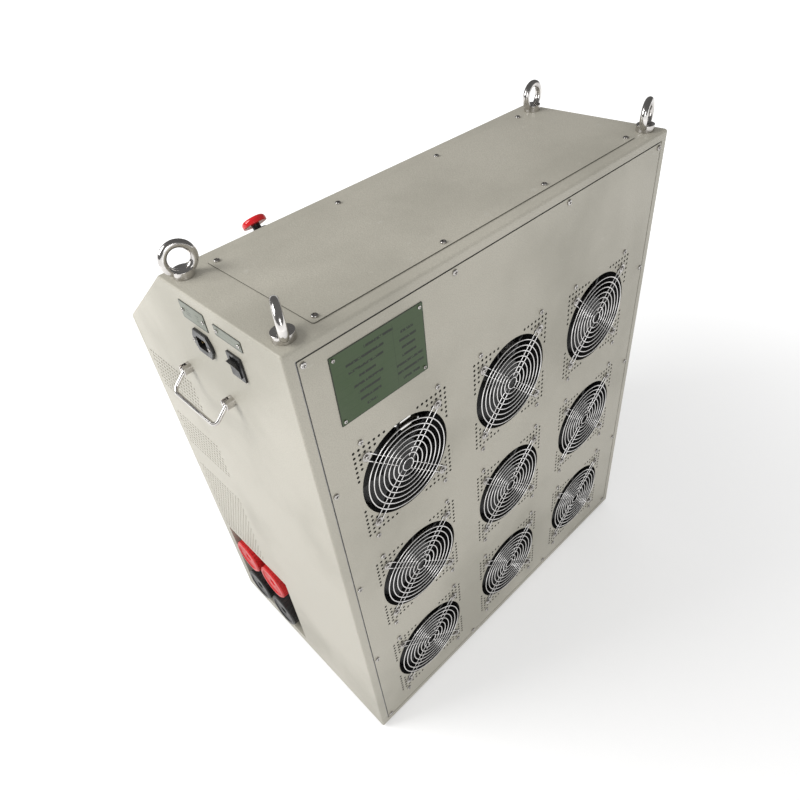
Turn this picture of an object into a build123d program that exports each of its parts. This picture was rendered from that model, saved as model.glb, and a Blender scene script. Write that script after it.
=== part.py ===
from build123d import *
import os
from math import hypot, sqrt

# Air-cooled resistive load bank in a folded sheet-metal cabinet.
# Millimetres. +Z up, +Y towards the fan side (rear), -Y towards the sloped console (front).
# The origin is on the floor, under the middle of the cabinet.

# ---- cabinet ----
CABINET_WIDTH = 800.0
CABINET_DEPTH = 500.0
CABINET_HEIGHT = 950.0
CONSOLE_SETBACK = 207.0
CONSOLE_DROP = 147.0
SHEET = 2.0
BEND_RADIUS = 5.0
EDGE_RADIUS = 3.0
FLANGE = 15.0
SEAT_GAP = 2.3
FOOT_RADIUS = 17.0
FOOT_HEIGHT = 6.0
FOOT_INSET = 22.0

# ---- rear panel, its frame and its screws ----
FRAME_SHEET = 2.5
FRAME_INNER_SIDE = 46.0
FRAME_INNER_END = 27.0
SCREW_INSET = 24.0
REAR_SCREWS_ACROSS = 4
REAR_SCREWS_DOWN = 5
THREAD_CLEARANCE = 0.05
PANEL_SCREW_RADIUS = 2.5
PANEL_SCREW_HEAD = 4.6
PANEL_SCREW_LENGTH = 5.5
SMALL_SCREW_RADIUS = 1.5
SMALL_SCREW_HEAD = 2.8
SMALL_SCREW_LENGTH = 4.5

# ---- fans ----
FAN_COLUMNS = 3
FAN_ROWS = 3
FAN_FIRST_X = 153.0
FAN_PITCH_X = 242.0
FAN_FIRST_Z = 288.0
FAN_PITCH_Z = 254.5
FAN_OPENING_RADIUS = 86.0
FAN_DEPTH = 60.0
FAN_WALL = 3.0
FAN_PLATE = 4.0
FAN_PLATE_MARGIN = 7.0
FAN_SCREW_X = 74.0
FAN_SCREW_Z = 100.0
FAN_BOSS_RADIUS = 30.0
FAN_BOSS_DEPTH = 8.0
FAN_SHAFT_RADIUS = 4.0
ROTOR_HUB_RADIUS = 36.0
ROTOR_HUB_DEPTH = 36.0
ROTOR_RECESS = 10.0
ROTOR_TIP_GAP = 1.8
ROTOR_BLADES = 7
BLADE_THICKNESS = 2.2
BLADE_ROOT_CHORD = 32.0
BLADE_TIP_CHORD = 50.0
BLADE_ROOT_PITCH = 48.0
BLADE_TIP_PITCH = 27.0
SHAFT_CLEARANCE = 0.05
PERFORATION_PITCH = 9.3
PERFORATION_RADIUS = 2.4
PERFORATION_COUNT = 20
PERFORATION_EDGE = 5.8

# ---- finger guards ----
GUARD_WIRE = 1.1
GUARD_WELD = 0.35
GUARD_RING_RADII = (77.0, 67.5, 58.0, 48.5, 39.0, 29.5, 20.0, 10.5)
GUARD_LEG_HALF_GAP = 5.7
GUARD_SCREW_WASHER = 7.6
GUARD_SCREW_STEPS = 7.5

# ---- top cover ----
COVER_SHEET = 1.5
COVER_END_MARGIN = 63.0
COVER_FRONT_MARGIN = 27.5
COVER_REAR_MARGIN = 23.0
COVER_SCREW_INSET = 10.5
COVER_SCREWS_ACROSS = 4
COVER_CORNER = 4.0
HATCH_MARGIN = 24.0

# ---- lifting eyes ----
EYE_SIDE_INSET = 25.0
EYE_FRONT_INSET = 33.0
EYE_REAR_INSET = 28.0
EYE_COLLAR_RADIUS = 15.0
EYE_COLLAR_HEIGHT = 11.0
EYE_OUTER_RADIUS = 27.0
EYE_INNER_RADIUS = 15.0
EYE_HEIGHT = 53.0
EYE_SHANK_RADIUS = 6.0
EYE_SHANK_LENGTH = 18.0
EYE_FRONT_TURNS = (78.0, 95.0)
EYE_REAR_TURNS = (153.0, 106.0)
WELD_NUT_RADIUS = 9.5
WELD_NUT_HEIGHT = 10.0

# ---- side vents ----
VENT_HOLE_RADIUS = 2.4
VENT_PITCH_Y = 9.5
VENT_PITCH_Z = 9.7
VENT_COLUMNS = 16
VENT_FRONT = 24.0
VENT_TOPS = (211.0, 356.0, 498.0)
VENT_ROWS = (9, 9, 21)

# ---- front intake slots ----
SLOT_LENGTH = 110.0
SLOT_WIDTH = 7.0
SLOT_COLUMNS = 5
SLOT_ROWS = 18
SLOT_PITCH_X = 132.0
SLOT_PITCH_Z = 26.0
SLOT_BOTTOM = 130.0

# ---- terminals in the recess of the right side ----
RECESS_FRONT = 26.0
RECESS_WIDTH = 218.0
RECESS_TOP = 706.0
RECESS_HEIGHT = 214.0
RECESS_DEPTH = 84.0
RECESS_SHEET = 1.5
RECESS_LIP = 8.0
BOARD_THICKNESS = 6.0
KNOB_COLUMN_Y = (87.0, 183.0)
KNOB_ROW_Z = (757.5, 868.5)
KNOB_RADIUS = 40.0
KNOB_RIM = 30.0
KNOB_PROUD = 6.5
KNOB_NECK_RADIUS = 23.0
KNOB_FLUTES = 30
KNOB_FLUTE_RADIUS = 3.0
KNOB_END_WALL = 12.0
STUD_RADIUS = 8.0
STUD_COLLAR_RADIUS = 17.0
STUD_COLLAR_HEIGHT = 6.0
STUD_TIP_GAP = 4.0
WASHER_RADIUS = 22.0
WASHER_THICKNESS = 4.0
NUT_RADIUS = 13.8
NUT_HEIGHT = 10.0

# ---- side handles ----
HANDLE_FRONT = 197.0
HANDLE_SPACING = 123.0
HANDLE_TOP = 161.5
POST_RADIUS = 9.0
POST_LENGTH = 15.0
PIVOT_HEIGHT = 9.5
BAIL_RADIUS = 3.2
BAIL_REACH = 37.0
BAIL_CORNER = 11.0
BAIL_DROOP = 42.0
BAIL_PIN_RADIUS = 1.6
BAIL_PIN_CLEARANCE = 0.05
CLEVIS_CLEARANCE = 0.25

# ---- inlet and rocker switch ----
INLET_Y = 294.0
INLET_Z = 73.0
INLET_WIDTH = 50.0
INLET_HEIGHT = 37.0
INLET_FLANGE = 4.5
INLET_BODY_WIDTH = 32.0
INLET_BODY_HEIGHT = 27.0
INLET_BODY_DEPTH = 22.0
INLET_WELL_WIDTH = 26.0
INLET_WELL_HEIGHT = 19.0
INLET_WELL_DEPTH = 17.0
INLET_SCREW_SPACING = 40.0
PIN_WIDTH = 2.0
PIN_HEIGHT = 4.0
PIN_LENGTH = 13.0
PIN_SPACING = 14.0
PIN_RISE = 3.0
ROCKER_Y = 378.0
ROCKER_Z = 71.0
ROCKER_WIDTH = 33.0
ROCKER_HEIGHT = 38.0
ROCKER_RIM = 3.0
ROCKER_WALL = 3.5
ROCKER_BODY_DEPTH = 20.0
ROCKER_GAP = 0.4
ROCKER_TILT = 12.0
ROCKER_PIVOT_DEPTH = 4.0
ROCKER_PROUD = 4.5
ROCKER_PIN_RADIUS = 1.5
ROCKER_SWEEP = 2.6

# ---- rating plates ----
PLATE_THICKNESS = 1.0
PLATE_SCREW_INSET = 6.0
NAMEPLATE_X = 57.0
NAMEPLATE_Z = 35.5
NAMEPLATE_WIDTH = 155.0
NAMEPLATE_HEIGHT = 109.0
INLET_PLATE = (256.0, 17.0, 65.0, 28.0)
ROCKER_PLATE = (344.0, 20.0, 64.0, 17.0)

# ---- console on the slope (x from the middle, y up the slope from its lower edge) ----
ESTOP_X = 203.0
ESTOP_Y = 190.0
ESTOP_HEAD_RADIUS = 20.5
ESTOP_HEAD_HEIGHT = 11.0
ESTOP_HEAD_RISE = 17.0
ESTOP_STEM_RADIUS = 7.0
ESTOP_BORE_CLEARANCE = 0.05
ESTOP_COLLAR_RADIUS = 15.0
ESTOP_COLLAR_HEIGHT = 9.0
ESTOP_BODY_DEPTH = 32.0
ESTOP_TRAVEL = 6.0
BUTTON_Y = 62.0
BUTTON_X = (203.0, 143.0)
BUTTON_RADIUS = 9.0
BUTTON_COLLAR_RADIUS = 14.5
BUTTON_COLLAR_HEIGHT = 4.0
BUTTON_PROUD = 3.0
BUTTON_TRAVEL = 3.0
BUTTON_CLEARANCE = 0.08
BUTTON_BODY_RADIUS = 11.0
BUTTON_BODY_DEPTH = 26.0
METER_X = -60.0
METER_Y = 126.0
METER_WIDTH = 230.0
METER_HEIGHT = 140.0
METER_RIM = 5.0
METER_BODY_DEPTH = 30.0
METER_BODY_MARGIN = 7.0
METER_WINDOW_MARGIN = 16.0
METER_WINDOW_DEPTH = 1.5

# ---- heating elements and their rack ----
RACK_HALF_SPAN = 285.0
RACK_SHEET = 2.0
RACK_FRONT = 30.0
RACK_REAR = 395.0
RACK_TOP = 190.0
RACK_FOOT = 20.0
TUBE_RADIUS = 9.0
TUBE_ROWS = 7
TUBE_COLUMNS = 4
TUBE_PITCH_Y = 82.0
TUBE_PITCH_Z = 96.0
TUBE_FIRST_Y = 92.0
TUBE_FIRST_Z = 90.0

HALF_WIDTH = CABINET_WIDTH / 2
HALF_DEPTH = CABINET_DEPTH / 2
BASE_Z = FOOT_HEIGHT
TOP_Z = FOOT_HEIGHT + CABINET_HEIGHT

# Work planes with their origin in a top corner, so that local x runs along the face
# and local -y runs down from the top.
REAR = Plane(origin=(HALF_WIDTH, HALF_DEPTH, TOP_Z), x_dir=(-1, 0, 0), z_dir=(0, 1, 0))
RIGHT = Plane(origin=(HALF_WIDTH, -HALF_DEPTH, TOP_Z), x_dir=(0, 1, 0), z_dir=(1, 0, 0))
CONSOLE = Plane(
    origin=(0, -HALF_DEPTH, TOP_Z - CONSOLE_DROP),
    x_dir=(1, 0, 0),
    z_dir=(0, -CONSOLE_DROP, CONSOLE_SETBACK),
)
FLAT_TOP = Plane(origin=(0, 0, TOP_Z), x_dir=(1, 0, 0), z_dir=(0, 0, 1))

PARTS = {}


def rod(radius, low, high):
    """Cylinder on the local Z axis between two heights."""
    return Pos(0, 0, (low + high) / 2) * Cylinder(radius, high - low)


def block(x0, x1, y0, y1, z0, z1):
    """Box between three pairs of limits."""
    return Pos((x0 + x1) / 2, (y0 + y1) / 2, (z0 + z1) / 2) * Box(x1 - x0, y1 - y0, z1 - z0)


def rounded_plate(width, height, corner, low, high):
    """Plate with round corners, centred on the local Z axis."""
    return Pos(0, 0, low) * extrude(RectangleRounded(width, height, corner), high - low)


def holes(plane, points, radius, low, high):
    """Round cutters of one size at each point of a plane."""
    return [plane * Pos(x, y, 0) * rod(radius, low, high) for x, y in points]


def other_side(shape):
    """The same piece on the left side: turned half round about the handles' middle."""
    middle = HANDLE_FRONT + HANDLE_SPACING / 2 - HALF_DEPTH
    return Pos(0, middle, 0) * Rot(0, 0, 180) * Pos(0, -middle, 0) * shape


def profile(inset, x0, x1):
    """Side outline of the cabinet, moved inwards by an inset, carried from x0 to x1."""
    corners = [
        (-HALF_DEPTH, BASE_Z),
        (HALF_DEPTH, BASE_Z),
        (HALF_DEPTH, TOP_Z),
        (-HALF_DEPTH + CONSOLE_SETBACK, TOP_Z),
        (-HALF_DEPTH, TOP_Z - CONSOLE_DROP),
    ]
    outline = make_face(Polyline(*corners, close=True))
    if inset:
        outline = offset(outline, -inset, kind=Kind.INTERSECTION)
    outline = fillet(outline.vertices(), BEND_RADIUS - inset)
    return Pos(x0, 0, 0) * extrude(Plane.YZ * outline, x1 - x0, dir=(1, 0, 0))


def screw(radius, head_radius, length, washer_radius=0.0, washer=0.0):
    """Pan-head screw with a cross recess, its seat at local z = 0."""
    head = head_radius * 0.62
    shape = rod(radius, -length, 0) + Pos(0, 0, washer) * rod(head_radius, 0, head)
    shape = fillet(shape.edges().sort_by(Axis.Z)[-1], head * 0.6)
    if washer:
        shape += rod(washer_radius, 0, washer)
    slot = head_radius * 0.32
    for size in ((head_radius * 1.1, slot), (slot, head_radius * 1.1)):
        shape -= Pos(0, 0, washer + head) * Box(size[0], size[1], head * 0.9)
    return shape


# ---- places of the screws ----
def spread(low, high, count):
    """Evenly spaced values from low to high."""
    return [low + (high - low) * i / (count - 1) for i in range(count)]


REAR_X = spread(SCREW_INSET, CABINET_WIDTH - SCREW_INSET, REAR_SCREWS_ACROSS)
REAR_Y = spread(-SCREW_INSET, SCREW_INSET - CABINET_HEIGHT, REAR_SCREWS_DOWN)
REAR_POINTS = [(x, y) for x in REAR_X for y in (REAR_Y[0], REAR_Y[-1])]
REAR_POINTS += [(x, y) for x in (REAR_X[0], REAR_X[-1]) for y in REAR_Y[1:-1]]

FAN_CENTRES = [
    (FAN_FIRST_X + FAN_PITCH_X * column, -FAN_FIRST_Z - FAN_PITCH_Z * row)
    for row in range(FAN_ROWS)
    for column in range(FAN_COLUMNS)
]
CORNERS = [(sx, sy) for sx in (-1, 1) for sy in (-1, 1)]
GUARD_POINT = PERFORATION_PITCH * GUARD_SCREW_STEPS
GUARD_POINTS = [
    (x + sx * GUARD_POINT, y + sy * GUARD_POINT) for x, y in FAN_CENTRES for sx, sy in CORNERS
]
FAN_POINTS = [
    (x + sx * FAN_SCREW_X, y + sy * FAN_SCREW_Z) for x, y in FAN_CENTRES for sx, sy in CORNERS
]

COVER_WIDTH = CABINET_WIDTH - 2 * COVER_END_MARGIN
COVER_FRONT_Y = -HALF_DEPTH + CONSOLE_SETBACK + COVER_FRONT_MARGIN
COVER_REAR_Y = HALF_DEPTH - COVER_REAR_MARGIN
COVER_DEPTH = COVER_REAR_Y - COVER_FRONT_Y
COVER_MIDDLE = (COVER_REAR_Y + COVER_FRONT_Y) / 2
COVER_POINTS = [
    (x, y)
    for x in spread(
        COVER_SCREW_INSET - COVER_WIDTH / 2,
        COVER_WIDTH / 2 - COVER_SCREW_INSET,
        COVER_SCREWS_ACROSS,
    )
    for y in (COVER_FRONT_Y + COVER_SCREW_INSET, COVER_REAR_Y - COVER_SCREW_INSET)
]

EYE_X = HALF_WIDTH - EYE_SIDE_INSET
EYE_FRONT_Y = -HALF_DEPTH + CONSOLE_SETBACK + EYE_FRONT_INSET
EYE_REAR_Y = HALF_DEPTH - EYE_REAR_INSET
EYES = [
    (EYE_X, EYE_FRONT_Y, EYE_FRONT_TURNS[0]),
    (-EYE_X, EYE_FRONT_Y, EYE_FRONT_TURNS[1]),
    (EYE_X, EYE_REAR_Y, EYE_REAR_TURNS[0]),
    (-EYE_X, EYE_REAR_Y, EYE_REAR_TURNS[1]),
]

NAMEPLATE_CENTRE = (
    NAMEPLATE_X + NAMEPLATE_WIDTH / 2,
    -NAMEPLATE_Z - NAMEPLATE_HEIGHT / 2,
)
NAMEPLATE_POINTS = [
    (
        NAMEPLATE_CENTRE[0] + sx * (NAMEPLATE_WIDTH / 2 - PLATE_SCREW_INSET),
        NAMEPLATE_CENTRE[1] + sy * (NAMEPLATE_HEIGHT / 2 - PLATE_SCREW_INSET),
    )
    for sx, sy in CORNERS
]
LABEL_POINTS = [
    (y + (width / 2) + side * (width / 2 - PLATE_SCREW_INSET), -z - height / 2)
    for y, z, width, height in (INLET_PLATE, ROCKER_PLATE)
    for side in (-1, 1)
]
INLET_POINTS = [(INLET_Y + side * INLET_SCREW_SPACING / 2, -INLET_Z) for side in (-1, 1)]
POST_POINTS = [(HANDLE_FRONT, -HANDLE_TOP), (HANDLE_FRONT + HANDLE_SPACING, -HANDLE_TOP)]
RECESS_CENTRE = (RECESS_FRONT + RECESS_WIDTH / 2, -RECESS_TOP - RECESS_HEIGHT / 2)
KNOB_POINTS = [(y, -z) for z in KNOB_ROW_Z for y in KNOB_COLUMN_Y]


# ---- cabinet sheets ----
def wrap_sheets():
    """Bottom, front, console and top: one folded strip between the side panels, in four."""
    x = HALF_WIDTH - FLANGE
    strip = profile(0, -x, x) - profile(SHEET, -x, x)
    strip -= block(
        -x, x, HALF_DEPTH - 2 * SHEET, HALF_DEPTH + 1, BASE_Z + FLANGE, TOP_Z - FLANGE
    )
    top_y = -HALF_DEPTH + CONSOLE_SETBACK + BEND_RADIUS
    front_z = TOP_Z - CONSOLE_DROP - BEND_RADIUS
    far = CABINET_DEPTH
    top = strip & block(-x, x, top_y, far, TOP_Z - 2 * FLANGE, TOP_Z + 1)
    console = strip & block(-x, x, -far, top_y, front_z, TOP_Z + 1)
    front = strip & block(-x, x, -far, 0, BASE_Z + BEND_RADIUS, front_z)
    low_front = block(-x, x, -far, 0, 0, BASE_Z + BEND_RADIUS)
    base = strip & (low_front + block(-x, x, -far / 4, far, 0, BASE_Z + 2 * FLANGE))
    return top, console, front, base


def front_slots():
    """Rows of intake slots low in the front sheet."""
    slot = extrude(SlotOverall(SLOT_LENGTH, SLOT_WIDTH), 4 * SHEET, both=True)
    face = Plane(origin=(0, -HALF_DEPTH, BASE_Z), x_dir=(1, 0, 0), z_dir=(0, -1, 0))
    return [
        face * Pos((c - (SLOT_COLUMNS - 1) / 2) * SLOT_PITCH_X, SLOT_BOTTOM + r * SLOT_PITCH_Z, 0)
        * slot
        for c in range(SLOT_COLUMNS)
        for r in range(SLOT_ROWS)
    ]


def eye_holes():
    """Clearance holes of the lifting eyes' shanks."""
    points = [(x, y) for x, y, _ in EYES]
    radius = EYE_SHANK_RADIUS + THREAD_CLEARANCE
    return holes(FLAT_TOP, points, radius, -SHEET - WELD_NUT_HEIGHT - 1, 1)


def top_sheet(top):
    """Top sheet with its hatch under the cover, its screw holes and welded nuts."""
    hatch = extrude(
        Rectangle(COVER_WIDTH - 2 * HATCH_MARGIN, COVER_DEPTH - 2 * HATCH_MARGIN), 2 * FLANGE
    )
    top -= Pos(0, COVER_MIDDLE, TOP_Z - FLANGE) * hatch
    for x, y, _ in EYES:
        top += Pos(x, y, TOP_Z) * rod(WELD_NUT_RADIUS, -SHEET - WELD_NUT_HEIGHT, -SHEET / 2)
    top -= eye_holes()
    screw_hole = PANEL_SCREW_RADIUS + THREAD_CLEARANCE
    return top - holes(FLAT_TOP, COVER_POINTS, screw_hole, -2 * SHEET, 1)


def vent_points():
    """Staggered rows of vent holes, in the side face's own coordinates."""
    points = []
    for top, rows in zip(VENT_TOPS, VENT_ROWS):
        for row in range(rows):
            shift = VENT_PITCH_Y / 2 if row % 2 else 0.0
            z = -top - row * VENT_PITCH_Z
            points += [(VENT_FRONT + shift + c * VENT_PITCH_Y, z) for c in range(VENT_COLUMNS)]
    return points


def side_pan():
    """Right side: the profile with a return flange all round and rounded outer edges."""
    x = HALF_WIDTH
    outer = profile(0, x - FLANGE, x)
    outer = fillet(outer.faces().sort_by(Axis.X)[-1].edges(), EDGE_RADIUS)
    pan = outer - profile(SHEET, x - FLANGE - 1, x - SHEET)
    pan -= holes(RIGHT, vent_points(), VENT_HOLE_RADIUS, -3 * SHEET, 1)
    return pan


def post_holes():
    """Screw holes behind the two posts of a handle."""
    return holes(RIGHT, POST_POINTS, PANEL_SCREW_RADIUS + THREAD_CLEARANCE, -3 * SHEET, 1)


def right_cuts():
    """Openings of the right side only: recess, inlet, rocker and plate screws."""
    cuts = [RIGHT * Pos(*RECESS_CENTRE) * Box(RECESS_WIDTH, RECESS_HEIGHT, 6 * SHEET)]
    cuts.append(RIGHT * Pos(INLET_Y, -INLET_Z) * Box(INLET_BODY_WIDTH, INLET_BODY_HEIGHT, 6 * SHEET))
    width = ROCKER_WIDTH - 2 * ROCKER_RIM
    height = ROCKER_HEIGHT - 2 * ROCKER_RIM
    cuts.append(RIGHT * Pos(ROCKER_Y, -ROCKER_Z) * Box(width, height, 6 * SHEET))
    radius = SMALL_SCREW_RADIUS + THREAD_CLEARANCE
    return cuts + holes(RIGHT, LABEL_POINTS + INLET_POINTS, radius, -3 * SHEET, 1)


top, console, front, base = wrap_sheets()
PARTS["top_panel"] = top_sheet(top)
PARTS["front_panel"] = front - front_slots()
PARTS["base_pan"] = base

pan = side_pan()
pan -= post_holes()
PARTS["side_panel_left"] = mirror(pan, about=Plane.YZ)
PARTS["side_panel_right"] = pan - right_cuts()


def console_cuts():
    """Openings of the sloped console."""
    cuts = [CONSOLE * Pos(ESTOP_X, ESTOP_Y) * rod(ESTOP_COLLAR_RADIUS - 3, -3 * SHEET, 1)]
    cuts += holes(CONSOLE, [(x, BUTTON_Y) for x in BUTTON_X], BUTTON_BODY_RADIUS, -3 * SHEET, 1)
    width = METER_WIDTH - 2 * METER_BODY_MARGIN
    height = METER_HEIGHT - 2 * METER_BODY_MARGIN
    cuts.append(CONSOLE * Pos(METER_X, METER_Y) * Box(width, height, 6 * SHEET))
    return cuts


PARTS["console_panel"] = console - console_cuts()


def cover():
    """Raised plate over the top hatch."""
    plate = rounded_plate(COVER_WIDTH, COVER_DEPTH, COVER_CORNER, 0, COVER_SHEET)
    plate = Pos(0, COVER_MIDDLE, TOP_Z) * plate
    return plate - holes(FLAT_TOP, COVER_POINTS, PANEL_SCREW_RADIUS + THREAD_CLEARANCE, -1, 9)


PARTS["top_cover"] = cover()


# ---- rear panel ----
def perforations():
    """Holes of the square lattice that lie outside each fan's round opening."""
    half = (PERFORATION_COUNT - 1) / 2
    steps = [(i - half) * PERFORATION_PITCH for i in range(PERFORATION_COUNT)]
    keep = FAN_OPENING_RADIUS + PERFORATION_EDGE
    local = [(x, y) for x in steps for y in steps if hypot(x, y) >= keep]
    local = [p for p in local if hypot(abs(p[0]) - GUARD_POINT, abs(p[1]) - GUARD_POINT) > 1]
    return [(cx + x, cy + y) for cx, cy in FAN_CENTRES for x, y in local]


def ring(point, radius):
    """Round edge at a point of the rear face."""
    return REAR * Pos(*point, -SHEET) * Wire.make_circle(radius)


def rear_sheet():
    """Flat rear panel, flush with the flanges that surround it."""
    inset = FLANGE + SEAT_GAP
    outline = Pos(CABINET_WIDTH / 2, -CABINET_HEIGHT / 2, -SHEET) * RectangleRounded(
        CABINET_WIDTH - 2 * inset, CABINET_HEIGHT - 2 * inset, 1.5
    )
    rings = [ring(p, FAN_OPENING_RADIUS) for p in FAN_CENTRES]
    rings += [ring(p, PERFORATION_RADIUS) for p in perforations()]
    rings += [ring(p, PANEL_SCREW_RADIUS + THREAD_CLEARANCE) for p in REAR_POINTS + FAN_POINTS]
    small = SMALL_SCREW_RADIUS + THREAD_CLEARANCE
    rings += [ring(p, small) for p in GUARD_POINTS + NAMEPLATE_POINTS]
    outer = (REAR * outline).faces()[0].outer_wire()
    return extrude(Face(outer, rings), SHEET, dir=(0, 1, 0))


PARTS["rear_panel"] = rear_sheet()


def rear_ring():
    """Welded frame that the rear panel is screwed to."""
    edge = BEND_RADIUS
    plate = block(edge, CABINET_WIDTH - edge, edge - CABINET_HEIGHT, -edge, 0, FRAME_SHEET)
    window = block(
        FRAME_INNER_SIDE,
        CABINET_WIDTH - FRAME_INNER_SIDE,
        FRAME_INNER_END - CABINET_HEIGHT,
        -FRAME_INNER_END,
        -1,
        FRAME_SHEET + 1,
    )
    frame = REAR * Pos(0, 0, -SHEET - FRAME_SHEET) * (plate - window)
    radius = PANEL_SCREW_RADIUS + THREAD_CLEARANCE
    return frame - holes(REAR, REAR_POINTS, radius, -3 * FRAME_SHEET, 1)


PARTS["rear_frame"] = rear_ring()


# ---- fans, drawn about the local Z axis with z = 0 on the rear panel's inner face ----
def fan_frame():
    """Mounting plate, duct, four struts, motor boss and shaft."""
    wide = 2 * (FAN_SCREW_X + FAN_PLATE_MARGIN + 8)
    tall = 2 * (FAN_SCREW_Z + FAN_PLATE_MARGIN)
    shape = rounded_plate(wide, tall, 8, -FAN_PLATE, 0)
    shape += rod(FAN_OPENING_RADIUS + FAN_WALL, -FAN_DEPTH, -FAN_PLATE / 2)
    shape -= rod(FAN_OPENING_RADIUS, -FAN_DEPTH - 1, 1)
    strut = block(0, FAN_OPENING_RADIUS + FAN_WALL / 2, -4, 4, -FAN_DEPTH, FAN_BOSS_DEPTH - FAN_DEPTH)
    for i in range(4):
        shape += Rot(0, 0, 45 + 90 * i) * strut
    shape += rod(FAN_BOSS_RADIUS, -FAN_DEPTH, FAN_BOSS_DEPTH - FAN_DEPTH)
    shape += rod(FAN_SHAFT_RADIUS, -FAN_DEPTH, -ROTOR_RECESS - 4)
    local = [(sx * FAN_SCREW_X, sy * FAN_SCREW_Z) for sx, sy in CORNERS]
    shape -= holes(Plane.XY, local, PANEL_SCREW_RADIUS + THREAD_CLEARANCE, -FAN_PLATE - 1, 1)
    local = [(sx * GUARD_POINT, sy * GUARD_POINT) for sx, sy in CORNERS]
    return shape - holes(Plane.XY, local, SMALL_SCREW_RADIUS + THREAD_CLEARANCE, -FAN_PLATE - 1, 1)


def blade():
    """One twisted blade, lofted from root to tip."""
    sections = []
    spans = (
        (ROTOR_HUB_RADIUS - 4, BLADE_ROOT_CHORD, BLADE_ROOT_PITCH),
        (FAN_OPENING_RADIUS, BLADE_TIP_CHORD, BLADE_TIP_PITCH),
    )
    for radius, chord, pitch in spans:
        place = Pos(radius, 0, 0) * Rot(pitch, 0, 0)
        sections.append(place * (Plane.YZ * Rectangle(chord, BLADE_THICKNESS)))
    return loft(sections)


def fan_rotor():
    """Hub with its blades and a running bore on the frame's shaft."""
    middle = -ROTOR_RECESS - ROTOR_HUB_DEPTH / 2
    hub = rod(ROTOR_HUB_RADIUS, -ROTOR_RECESS - ROTOR_HUB_DEPTH, -ROTOR_RECESS)
    shape = fillet(hub.edges().sort_by(Axis.Z)[-1], 3)
    wing = Pos(0, 0, middle) * blade()
    for i in range(ROTOR_BLADES):
        shape += Rot(0, 0, 360 * i / ROTOR_BLADES) * wing
    shape &= rod(FAN_OPENING_RADIUS - ROTOR_TIP_GAP, -FAN_DEPTH, 0)
    low = -ROTOR_RECESS - ROTOR_HUB_DEPTH - 1
    return shape - rod(FAN_SHAFT_RADIUS + SHAFT_CLEARANCE, low, -ROTOR_RECESS - 3)


def finger_guard():
    """Welded wire guard: rings on four hairpin legs, lying on the rear panel."""
    wire = GUARD_WIRE
    reach = sqrt(2) * GUARD_POINT
    inner = sqrt(GUARD_RING_RADII[-1] ** 2 - GUARD_LEG_HALF_GAP**2)
    outside = GUARD_LEG_HALF_GAP + wire
    inside = GUARD_LEG_HALF_GAP - wire
    leg = block(inner, reach, -outside, outside, 0, 2 * wire)
    leg += Pos(reach, 0, 0) * rod(outside, 0, 2 * wire)
    leg -= block(inner - 1, reach, -inside, inside, -1, 3 * wire)
    leg -= Pos(reach, 0, 0) * rod(inside, -1, 3 * wire)
    low = 2 * wire - GUARD_WELD
    rings = [
        rod(radius + wire, low, low + 2 * wire) - rod(radius - wire, low - 1, low + 3 * wire)
        for radius in GUARD_RING_RADII
    ]
    legs = [Rot(0, 0, 45 + 90 * i) * leg for i in range(4)]
    return legs[0] + legs[1:] + rings


frame_shape = fan_frame()
rotor_shape = fan_rotor()
guard_shape = finger_guard()
for number, (x, y) in enumerate(FAN_CENTRES, start=1):
    place = REAR * Pos(x, y, -SHEET)
    PARTS[f"fan_frame_{number}"] = place * frame_shape
    PARTS[f"fan_rotor_{number}"] = place * Rot(0, 0, 17 * number) * rotor_shape
PARTS["finger_guards"] = [REAR * Pos(x, y, 0) * guard_shape for x, y in FAN_CENTRES]


# ---- lifting eyes ----
def eye_bolt(turn):
    """Forged lifting eye on its collar and shank, its seat at local z = 0."""
    wire = (EYE_OUTER_RADIUS - EYE_INNER_RADIUS) / 2
    middle = (EYE_OUTER_RADIUS + EYE_INNER_RADIUS) / 2
    collar = rod(EYE_COLLAR_RADIUS, 0, EYE_COLLAR_HEIGHT)
    collar = fillet(collar.edges().filter_by(GeomType.CIRCLE), 0.8)
    collar += rod(EYE_SHANK_RADIUS, -EYE_SHANK_LENGTH, 1)
    hoop = Pos(0, 0, EYE_HEIGHT - EYE_OUTER_RADIUS) * Rot(90, 0, 0) * Torus(middle, wire)
    hoop -= rod(EYE_OUTER_RADIUS, -EYE_OUTER_RADIUS, EYE_COLLAR_HEIGHT / 2)
    return Rot(0, 0, turn - 90) * (collar + hoop)


PARTS["eye_bolts"] = [Pos(x, y, TOP_Z) * eye_bolt(turn) for x, y, turn in EYES]


# ---- feet ----
FEET = [
    (sx * (HALF_WIDTH - FOOT_INSET), sy * (HALF_DEPTH - FOOT_INSET)) for sx, sy in CORNERS
]
foot = fillet(rod(FOOT_RADIUS, 0, FOOT_HEIGHT).edges().sort_by(Axis.Z)[0], 1)
PARTS["rubber_feet"] = [Pos(x, y, 0) * foot for x, y in FEET]


# ---- terminal recess ----
def recess_box():
    """Four walls with a lip behind the side panel, open at the back."""
    wide = RECESS_WIDTH + 2 * RECESS_SHEET
    tall = RECESS_HEIGHT + 2 * RECESS_SHEET
    shape = block(-wide / 2, wide / 2, -tall / 2, tall / 2, -RECESS_DEPTH, -SHEET)
    lip_x = wide / 2 + RECESS_LIP
    lip_y = tall / 2 + RECESS_LIP
    shape += block(-lip_x, lip_x, -lip_y, lip_y, -SHEET - RECESS_SHEET, -SHEET)
    shape += block(-lip_x, lip_x, -lip_y, lip_y, -RECESS_DEPTH, RECESS_SHEET - RECESS_DEPTH)
    shape -= Box(RECESS_WIDTH, RECESS_HEIGHT, 3 * RECESS_DEPTH)
    return RIGHT * Pos(*RECESS_CENTRE) * shape


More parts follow.
